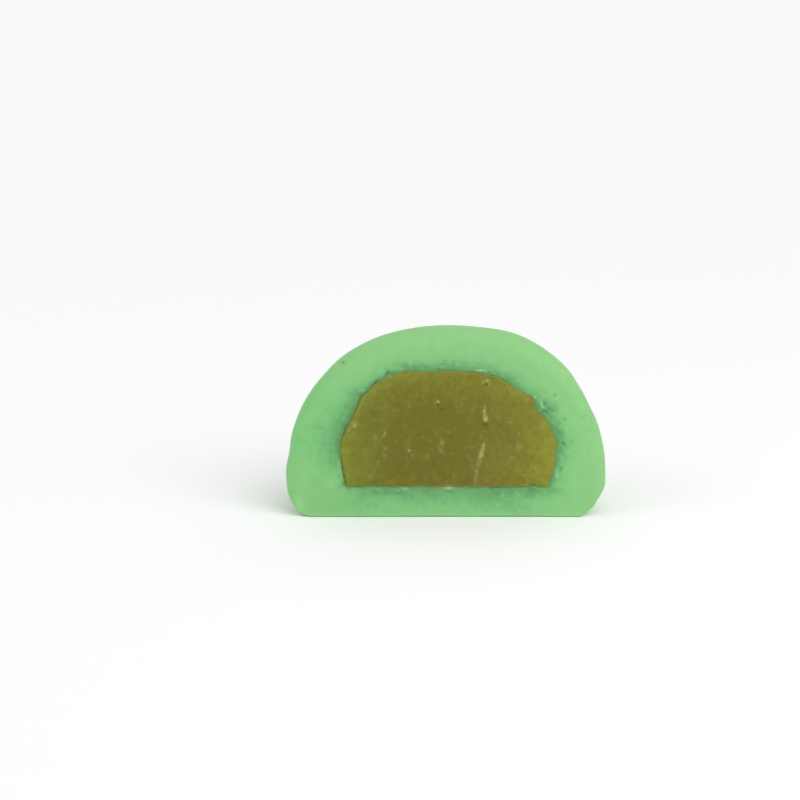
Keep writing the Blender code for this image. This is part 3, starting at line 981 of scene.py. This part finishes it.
class Shader:
    """A Principled material whose nodes are added by short calls. Each call returns an output socket."""

    def __init__(self, name):
        self.material = bpy.data.materials.new(name)
        self.material.use_nodes = True
        self.tree = self.material.node_tree
        self.principled = self.tree.nodes["Principled BSDF"]

    def node(self, kind, inputs, output=0, **settings):
        made = self.tree.nodes.new(kind)
        for key, value in settings.items():
            setattr(made, key, value)
        for key, value in inputs.items():
            self.put(made.inputs[key], value)
        return made.outputs[output]

    def put(self, socket, value):
        if isinstance(value, bpy.types.NodeSocket):
            self.tree.links.new(value, socket)
        else:
            socket.default_value = value

    def set(self, **values):
        for key, value in values.items():
            self.put(self.principled.inputs[key.replace("_", " ")], value)

    def field(self, name):
        return self.node("ShaderNodeAttribute", {}, output="Fac", attribute_name=name)

    def math(self, operation, *values):
        return self.node("ShaderNodeMath", dict(enumerate(values)), operation=operation)

    def stretch(self, value, low, high, to_low=0.0, to_high=1.0):
        inputs = {"Value": value, "From Min": low, "From Max": high, "To Min": to_low, "To Max": to_high}
        return self.node("ShaderNodeMapRange", inputs, interpolation_type="SMOOTHSTEP")

    def noise(self, wavelength, detail=2.0, roughness=0.5, stretch=(1, 1, 1)):
        """Noise about 0.5, of a wavelength in millimetres, in the piece's own coordinates."""
        place = self.node("ShaderNodeTexCoord", {}, output="Object")
        scale = [1 / (wavelength * MM * share) for share in stretch]
        place = self.node("ShaderNodeVectorMath", {0: place, 1: scale}, operation="MULTIPLY")
        inputs = {"Vector": place, "Scale": 1.0, "Detail": detail, "Roughness": roughness}
        return self.node("ShaderNodeTexNoise", inputs, noise_dimensions="3D")

    def sway(self, amount, wavelength, **settings):
        """Noise about 0 that reaches towards amount on either side."""
        return self.math("MULTIPLY_ADD", self.noise(wavelength, **settings), 2 * amount, -amount)

    def patches(self, look):
        spots = self.noise(look.wavelength, look.detail, look.roughness)
        return self.stretch(spots, look.low, look.high, look.least, look.most)

    def ramp(self, value, stops):
        """The colour at value, between (place, colour) stops."""
        made = self.tree.nodes.new("ShaderNodeValToRGB")
        elements = made.color_ramp.elements
        while len(elements) < len(stops):
            elements.new(0.5)
        for element, (place, colour) in zip(elements, stops):
            element.position, element.color = place, linear(*colour)
        self.put(made.inputs["Fac"], value)
        return made.outputs["Color"]

    def mix(self, share, first, second, blend="MIX"):
        inputs = {"Factor": share, 6: first, 7: second}
        return self.node("ShaderNodeMix", inputs, output=2, data_type="RGBA", blend_type=blend)

    def tinted(self, colour, tints):
        """The colour with each tint laid over it in turn."""
        for tint in tints:
            share = tint.strength
            if tint.patches:
                share = self.math("MULTIPLY", self.patches(tint.patches), share)
            if tint.field:
                share = self.math("MULTIPLY", self.field(tint.field), share)
            colour = self.mix(share, colour, linear(*tint.colour))
        return colour

    def bump(self, height, distance_mm, **more_inputs):
        inputs = {"Height": height, "Distance": distance_mm * MM, "Strength": 1.0, **more_inputs}
        return self.node("ShaderNodeBump", inputs)


WHITE = (1.0, 1.0, 1.0, 1.0)

STAIN_SPAN = 5.0  # how far from the paste the last colour of the stain lies
STAIN_COLOURS = (  # share of that span, and the colour there
    (0.00, (97, 151, 94)),
    (0.10, (105, 165, 104)),
    (0.18, (112, 174, 111)),
    (0.28, (121, 184, 118)),
    (0.40, (126, 186, 120)),
    (0.60, (130, 188, 123)),
    (1.00, (132, 186, 122)),
)
OUTSIDE_GREENS = ((130, 188, 122), (138, 194, 127))
OUTSIDE_BLOTCHES = Patches(6.0, 0.3, 0.7)
LEFT_GREEN_TINT = (0.95, 1.02, 0.965, 1.0)  # what the colours are multiplied by on the left
# painted highlight along the foot, and painted light on the lower left corner
FOOT_HIGHLIGHT = Tint((152, 206, 142), 0.22, "foot")
MOTTLE = Patches(1.4, 0.25, 0.75, least=0.97, most=1.03, detail=4, roughness=0.6)
SKIN_TINTS = (
    Tint((98, 154, 106), field="near", patches=Patches(1.2, 0.48, 0.62, most=0.45, roughness=0.6)),
    Tint((138, 196, 134), field="near", patches=Patches(0.7, 0.58, 0.70, most=0.45, roughness=0.6)),
    Tint((96, 144, 94), field="torn", patches=Patches(0.8, 0.4, 0.62, most=0.55, detail=4, roughness=0.65)),
    Tint((80, 124, 76), 0.75, "shadow"),
    Tint((110, 132, 60), field="touching", patches=Patches(1.0, 0.3, 0.6, least=0.3, most=0.7)),
    # dark: pits, holes, bruises and folds, partly painted shade in hollows, with painted shadow in the
    # crevice and painted shade on the rims
    Tint((72, 124, 74), 0.5, "dark"),
    # pale shreds, and painted glints along the paste's lower edge
    Tint((150, 196, 148), 0.75, "pale"),
)
MOIST_SPAN, MOIST_ROUGHNESS, DRY_ROUGHNESS = 3.0, 0.5, 0.62  # beside the paste, and a span away from it
ROUGHNESS_GRAIN = 0.1


def skin_material():
    """Translucent green dough: darker and moister beside the paste, mottled, with pale and dark marks, among
    them painted glints, painted shadow and painted shade.
    """
    shader = Shader("rice_skin")
    wander = shader.sway(amount=0.8, wavelength=1.9, detail=3, roughness=0.6)
    distance = shader.math("ADD", shader.field("settled"), wander)
    face = shader.ramp(shader.math("DIVIDE", distance, STAIN_SPAN), STAIN_COLOURS)
    outside = shader.mix(shader.patches(OUTSIDE_BLOTCHES), *(linear(*green) for green in OUTSIDE_GREENS))
    colour = shader.mix(shader.field("on_face"), outside, face)
    fresh = shader.mix(shader.field("fresh"), WHITE, LEFT_GREEN_TINT)
    colour = shader.mix(1.0, colour, fresh, blend="MULTIPLY")
    colour = shader.tinted(colour, [FOOT_HIGHLIGHT])
    colour = shader.mix(1.0, colour, shader.patches(MOTTLE), blend="MULTIPLY")
    shader.set(Base_Color=shader.tinted(colour, SKIN_TINTS))

    moist = shader.stretch(shader.field("settled"), 0.0, MOIST_SPAN, MOIST_ROUGHNESS, DRY_ROUGHNESS)
    shader.set(Roughness=shader.math("MULTIPLY_ADD", shader.noise(wavelength=0.6), ROUGHNESS_GRAIN, moist))
    grain = shader.noise(wavelength=0.3, detail=3, roughness=0.6)
    shader.set(Normal=shader.bump(grain, distance_mm=0.01))
    shader.set(Subsurface_Weight=0.35, Subsurface_Radius=(0.8, 1.0, 0.7), Subsurface_Scale=1.0 * MM)
    shader.set(Specular_IOR_Level=0.25)
    return shader.material


PASTE_COLOURS = ((0.0, (102, 99, 33)), (0.5, (115, 114, 39)), (1.0, (132, 133, 46)))  # by shade
PASTE_TINTS = (
    Tint((106, 130, 54), 0.16, "fresh"),
    Tint((134, 110, 30), 0.6, "rind", Patches(1.3, 0.3, 0.55, least=0.4)),
    Tint((134, 145, 50), field="lime", patches=Patches(1.1, 0.4, 0.6, least=0.15, most=0.6)),
    Tint((166, 128, 40), 0.7, "amber"),
    Tint((140, 137, 66), 0.4, patches=Patches(0.9, 0.56, 0.72, detail=4, roughness=0.65)),
    Tint((86, 82, 20), 0.3, patches=Patches(0.75, 0.42, 0.30, detail=4, roughness=0.65)),
    Tint((168, 164, 104), 0.85, "pale"),
    Tint((106, 146, 84), 0.45, "film"),
    # pores and holes, darkened partly as painted shade in their hollows, and the painted crevice shadow
    Tint((74, 72, 14), 0.55, "dark"),
)
PASTE_ROUGHNESS = Patches(0.5, 0.3, 0.7, least=0.62, most=0.78)


def paste_material():
    """Dense matt paste: olive, lighter towards its edge, with a browner rind, smears, pores, a painted glint
    along its lower edge and painted shadow in the crevice at its lower left.
    """
    shader = Shader("bean_paste")
    drift = shader.sway(amount=0.4, wavelength=1.5, detail=3, roughness=0.6)
    smear = shader.sway(amount=0.4, wavelength=0.6, detail=3, roughness=0.6, stretch=(1, 1, 1.7))
    shade = shader.math("ADD", shader.field("shade"), shader.math("ADD", drift, smear))
    shader.set(Base_Color=shader.tinted(shader.ramp(shade, PASTE_COLOURS), PASTE_TINTS))

    shader.set(Roughness=shader.patches(PASTE_ROUGHNESS))
    fine = shader.bump(shader.noise(wavelength=0.16, detail=3, roughness=0.7), distance_mm=0.02)
    coarse = shader.noise(wavelength=0.6, detail=3, roughness=0.6, stretch=(1, 1, 3))
    shader.set(Normal=shader.bump(coarse, distance_mm=0.03, Normal=fine))
    shader.set(Specular_IOR_Level=0.15)
    return shader.material


# Light, floor and camera

SHOT_WIDTH = 110.7  # how much of the cut plane the picture's width takes in
SHOT_DISTANCE = 300.0
SHOT_RISE = 13.0  # degrees above level
AIM_X, AIM_HEIGHT = -6.58, 16.86
SENSOR = 36.0
LIGHTS_AIM = (0, 0, 12)  # the middle of the half
FLOOR_REACH = 3000.0
SKY_STRENGTH = 0.715


def aim(thing, place, target):
    """Puts a camera or a light at a place in millimetres, and turns it to the target."""
    thing.location = Vector(place) * MM
    direction = (Vector(target) - Vector(place)).normalized()
    thing.rotation_euler = direction.to_track_quat("-Z", "Y").to_euler()


def add_camera():
    data = bpy.data.cameras.new("camera")
    data.sensor_width = SENSOR
    data.lens = SENSOR * SHOT_DISTANCE / SHOT_WIDTH
    data.clip_start = 10 * MM
    camera = bpy.data.objects.new("camera", data)
    bpy.context.scene.collection.objects.link(camera)
    rise = math.radians(SHOT_RISE)
    target = Vector((AIM_X, CUT, AIM_HEIGHT))
    aim(camera, target + SHOT_DISTANCE * Vector((0, -math.cos(rise), math.sin(rise))), target)
    bpy.context.scene.camera = camera


def add_light(name, kind, place, power, **settings):
    data = bpy.data.lights.new(name, kind)
    data.energy = power
    for key, value in settings.items():
        setattr(data, key, value)
    light = bpy.data.objects.new(name, data)
    bpy.context.scene.collection.objects.link(light)
    aim(light, place, LIGHTS_AIM)


def add_floor():
    mesh = bpy.data.meshes.new("floor")
    side = FLOOR_REACH * MM
    corners = [(-side, -side, 0), (side, -side, 0), (side, side, 0), (-side, side, 0)]
    mesh.from_pydata(corners, [], [(0, 1, 2, 3)])
    floor = bpy.data.objects.new("floor", mesh)
    bpy.context.scene.collection.objects.link(floor)
    shader = Shader("floor")
    shader.set(Base_Color=(0.9, 0.9, 0.9, 1.0), Roughness=0.9)
    mesh.materials.append(shader.material)


def add_world():
    world = bpy.data.worlds.new("studio")
    world.use_nodes = True
    background = world.node_tree.nodes["Background"]
    background.inputs["Color"].default_value = WHITE
    background.inputs["Strength"].default_value = SKY_STRENGTH
    bpy.context.scene.world = world


as_object("mochi_skin", skin_loft(), skin_looks, skin_material(), "root", "skin")
as_object("mochi_paste", paste_loft(), paste_looks, paste_material(), "root", "filling")

add_floor()
add_world()
add_light("key", "SUN", place=(230, -300, 420), power=1.2, angle=math.radians(50))
add_light("fill", "SUN", place=(-400, -160, 150), power=0.65, angle=math.radians(60))
add_light("softbox", "AREA", place=(130, -110, 90), power=0.05, shape="DISK", size=120 * MM)
add_camera()
bpy.context.scene.view_settings.view_transform = "Standard"
